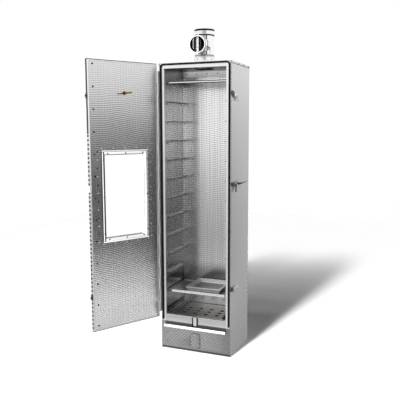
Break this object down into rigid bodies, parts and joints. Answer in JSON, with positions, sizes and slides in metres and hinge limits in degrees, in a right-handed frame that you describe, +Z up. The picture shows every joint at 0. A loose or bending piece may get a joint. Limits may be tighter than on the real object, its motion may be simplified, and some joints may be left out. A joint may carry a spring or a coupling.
{
  "type": "smoking cabinet",
  "caption": "Tall double-walled stainless smoking cabinet with an open glazed door, rack rails, tray and pan, perforated floor, air flap, side latches and a damped flue.",
  "frame": {"origin": "on the floor at the centre of the cabinet's footprint", "axes": "+Z up, the door and the air flap face -Y, the latches are on the +X side"},
  "size_m": [0.6483, 0.661, 1.673],
  "materials": {
    "satin_steel": "satin, fine mottled grain",
    "bright_steel": "bright polished stainless",
    "embossed_steel": "fine linen-embossed stainless",
    "tray_steel": "plain stainless, heat-dulled",
    "dark_steel": "blackened steel",
    "black_rubber": "matt",
    "mineral_wool": "fibrous",
    "clear_glass": "clear",
    "brass": "satin",
    "needle_red": "enamel"
  },
  "bodies": {
    "cabinet": {"outer_casing": "satin_steel", "top_cover": "satin_steel", "base_pan": "satin_steel", "inner_liner": "embossed_steel", "inner_ceiling": "embossed_steel", "insulation_left": "mineral_wool", "insulation_right": "mineral_wool", "insulation_back": "mineral_wool", "insulation_top": "mineral_wool", "front_frame": "bright_steel", "sill_strip": "bright_steel", "door_gasket": "black_rubber", "lower_front_panel": "satin_steel", "flap_screw": "bright_steel", "drip_gutter": "bright_steel", "drain_spout": "bright_steel", "back_header": "satin_steel", "rail_rack_left": "satin_steel", "rail_rack_right": "satin_steel", "floor_ledge_left": "satin_steel", "floor_ledge_right": "satin_steel", "chip_pan_stand": "dark_steel", "flue_collar": "bright_steel", "flue_tee": "bright_steel", "flue_socket": "bright_steel", "hinge_leaf_cabinet": "bright_steel", "hinge_pin": "bright_steel", "latch_base_top": "satin_steel", "latch_base_middle": "satin_steel", "latch_base_bottom": "satin_steel"},
    "door": {"door_outer_skin": "satin_steel", "door_inner_panel": "embossed_steel", "door_insulation": "mineral_wool", "window_frame_inner": "bright_steel", "window_frame_outer": "bright_steel", "glass_inner": "clear_glass", "glass_outer": "clear_glass", "window_seal": "black_rubber", "thermometer_case": "bright_steel", "thermometer_lens": "clear_glass", "thermometer_nut": "brass", "thermometer_stem": "brass", "hinge_leaf_door": "bright_steel", "strike_top": "dark_steel", "strike_middle": "dark_steel", "strike_bottom": "dark_steel"},
    "needle": {"thermometer_needle": "needle_red"},
    "damper": {"damper_axle": "bright_steel", "damper_disc": "tray_steel"},
    "top_hook": {"latch_hook_top": "dark_steel"},
    "bottom_hook": {"latch_hook_bottom": "dark_steel"},
    "handle": {"handle_lever": "dark_steel", "handle_grip": "bright_steel"},
    "flap": {"air_flap": "satin_steel"},
    "shelf": {"shelf_tray": "tray_steel"},
    "pan": {"mesh_pan": "bright_steel"},
    "baffle": {"top_baffle": "bright_steel"},
    "floor": {"floor_plate": "tray_steel"},
    "ember_pan": {"chip_pan": "dark_steel"}
  },
  "joints": [
    {"name": "door_swing", "type": "hinge", "parent": "cabinet", "child": "door", "pos_m": [-0.199, -0.156, 0.8], "axis": [0, 0, -1], "range_deg": [-120, 55]},
    {"name": "needle_turn", "type": "hinge", "parent": "door", "child": "needle", "pos_m": [-0.2965, -0.32488, 1.345], "axis": [0.866, -0.5, 0], "range_deg": [-130, 130]},
    {"name": "damper_turn", "type": "hinge", "parent": "cabinet", "child": "damper", "pos_m": [0, -0.098, 1.5895], "axis": [0, 0, 1], "range_deg": [-68, 22]},
    {"name": "top_hook_turn", "type": "hinge", "parent": "cabinet", "child": "top_hook", "pos_m": [0.205, -0.096, 1.33], "axis": [-1, 0, 0], "range_deg": [-12, 45]},
    {"name": "bottom_hook_turn", "type": "hinge", "parent": "cabinet", "child": "bottom_hook", "pos_m": [0.205, -0.096, 0.352], "axis": [-1, 0, 0], "range_deg": [-12, 45]},
    {"name": "handle_turn", "type": "hinge", "parent": "cabinet", "child": "handle", "pos_m": [0.205, -0.096, 0.888], "axis": [-1, 0, 0], "range_deg": [-12, 45]},
    {"name": "air_flap_swing", "type": "hinge", "parent": "cabinet", "child": "flap", "pos_m": [0, -0.1494, 0.094], "axis": [0, -1, 0], "range_deg": [0, 85]},
    {"name": "shelf_slide", "type": "slide", "parent": "cabinet", "child": "shelf", "axis": [0, -1, 0], "range_m": [0, 0.18]},
    {"name": "pan_lift", "type": "slide", "parent": "shelf", "child": "pan", "axis": [0, 0, 1], "range_m": [0, 0.06]},
    {"name": "baffle_slide", "type": "slide", "parent": "cabinet", "child": "baffle", "axis": [0, -1, 0], "range_m": [0, 0.18]},
    {"name": "floor_lift", "type": "slide", "parent": "cabinet", "child": "floor", "axis": [0, 0, 1], "range_m": [0, 0.09]},
    {"name": "ember_pan_lift", "type": "slide", "parent": "cabinet", "child": "ember_pan", "axis": [0, 0, 1], "range_m": [0, 0.06]}
  ]
}
